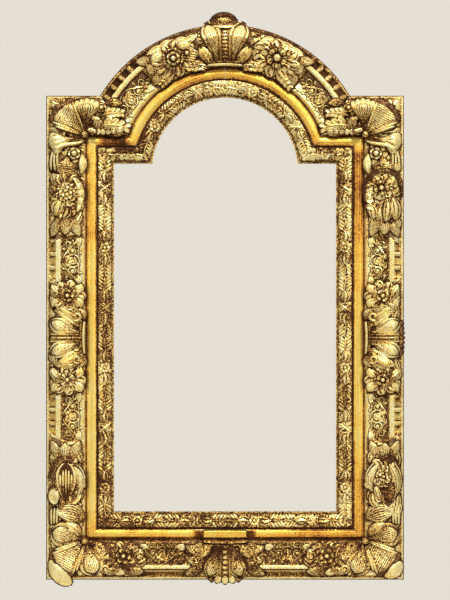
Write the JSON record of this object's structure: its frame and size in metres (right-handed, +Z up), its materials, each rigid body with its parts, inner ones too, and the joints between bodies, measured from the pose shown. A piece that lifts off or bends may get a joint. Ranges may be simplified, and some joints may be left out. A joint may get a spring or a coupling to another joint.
{
  "type": "picture frame",
  "caption": "Carved giltwood picture frame with an arched top, square shoulders, shell and flower ornament, turn buttons and ring hangers on the back.",
  "frame": {"origin": "middle of the bottom rail's bearing face on the wall", "axes": "+Z up, +Y from the front of the frame into the wall, +X to the right as seen from the front"},
  "size_m": [0.542, 0.057, 0.8528],
  "materials": {
    "gilt_moulding": "water gilding over red bole on wood, burnished and worn, toned dark in the hollows",
    "gilt_carving": "carved and gilded wood, burnished on the high points, toned dark in the cuts",
    "gilt_slip": "carved and gilded wood slip with a burnished sight edge",
    "oak_key": "aged oak, planed flush",
    "brass_fitting": "tarnished brass",
    "steel_screw": "dull slotted steel"
  },
  "bodies": {
    "frame": {"bottom_rail": "gilt_moulding", "left_stile": "gilt_moulding", "right_stile": "gilt_moulding", "left_shoulder": "gilt_moulding", "right_shoulder": "gilt_moulding", "left_arch": "gilt_moulding", "right_arch": "gilt_moulding", "slip_bottom": "gilt_slip", "slip_left": "gilt_slip", "slip_right": "gilt_slip", "slip_left_shoulder": "gilt_slip", "slip_right_shoulder": "gilt_slip", "slip_arch": "gilt_slip", "key_crown": "oak_key", "key_bottom_left": "oak_key", "key_bottom_right": "oak_key", "key_top_left": "oak_key", "key_top_right": "oak_key", "key_left_notch": "oak_key", "key_right_notch": "oak_key", "crest_shell": "gilt_carving", "bottom_shell": "gilt_carving", "side_shell_left": "gilt_carving", "side_shell_right": "gilt_carving", "corner_shell_top_left": "gilt_carving", "corner_shell_top_right": "gilt_carving", "corner_shell_bottom_left": "gilt_carving", "corner_shell_bottom_right": "gilt_carving", "arch_flower_left": "gilt_carving", "arch_flower_right": "gilt_carving", "upper_flower_left": "gilt_carving", "upper_flower_right": "gilt_carving", "lower_flower_left": "gilt_carving", "lower_flower_right": "gilt_carving", "bottom_flower_left": "gilt_carving", "bottom_flower_right": "gilt_carving", "rosette_left_upper": "gilt_carving", "rosette_left_lower": "gilt_carving", "rosette_right_upper": "gilt_carving", "rosette_right_lower": "gilt_carving", "name_tablet": "gilt_carving", "turn_button_screw_bottom_left": "steel_screw", "turn_button_screw_bottom_right": "steel_screw", "turn_button_screw_stile_left": "steel_screw", "turn_button_screw_stile_right": "steel_screw", "turn_button_screw_arch_left": "steel_screw", "turn_button_screw_arch_right": "steel_screw", "hanger_strap_left": "brass_fitting", "hanger_strap_right": "brass_fitting", "hanger_screw_left": "steel_screw", "hanger_screw_right": "steel_screw"},
    "button_bottom_left": {"turn_button_bottom_left": "brass_fitting"},
    "button_bottom_right": {"turn_button_bottom_right": "brass_fitting"},
    "button_stile_left": {"turn_button_stile_left": "brass_fitting"},
    "button_stile_right": {"turn_button_stile_right": "brass_fitting"},
    "button_arch_left": {"turn_button_arch_left": "brass_fitting"},
    "button_arch_right": {"turn_button_arch_right": "brass_fitting"},
    "ring_left": {"hanger_ring_left": "brass_fitting"},
    "ring_right": {"hanger_ring_right": "brass_fitting"}
  },
  "joints": [
    {"name": "turn_bottom_left", "type": "hinge", "parent": "frame", "child": "button_bottom_left", "pos_m": [-0.09, 0, 0.04], "axis": [0, 1, 0], "range_deg": [-90, 90]},
    {"name": "turn_bottom_right", "type": "hinge", "parent": "frame", "child": "button_bottom_right", "pos_m": [0.09, 0, 0.04], "axis": [0, 1, 0], "range_deg": [-90, 90]},
    {"name": "turn_stile_left", "type": "hinge", "parent": "frame", "child": "button_stile_left", "pos_m": [-0.1975, 0, 0.28], "axis": [0, 1, 0], "range_deg": [-90, 90]},
    {"name": "turn_stile_right", "type": "hinge", "parent": "frame", "child": "button_stile_right", "pos_m": [0.1975, 0, 0.28], "axis": [0, 1, 0], "range_deg": [-90, 90]},
    {"name": "turn_arch_left", "type": "hinge", "parent": "frame", "child": "button_arch_left", "pos_m": [-0.09134, 0, 0.69236], "axis": [0, 1, 0], "range_deg": [-90, 90]},
    {"name": "turn_arch_right", "type": "hinge", "parent": "frame", "child": "button_arch_right", "pos_m": [0.09134, 0, 0.69236], "axis": [0, 1, 0], "range_deg": [-90, 90]},
    {"name": "swing_left", "type": "hinge", "parent": "frame", "child": "ring_left", "pos_m": [-0.1965, -0.0033, 0.484], "axis": [1, 0, 0], "range_deg": [0, 180]},
    {"name": "swing_right", "type": "hinge", "parent": "frame", "child": "ring_right", "pos_m": [0.1965, -0.0033, 0.484], "axis": [1, 0, 0], "range_deg": [0, 180]}
  ]
}
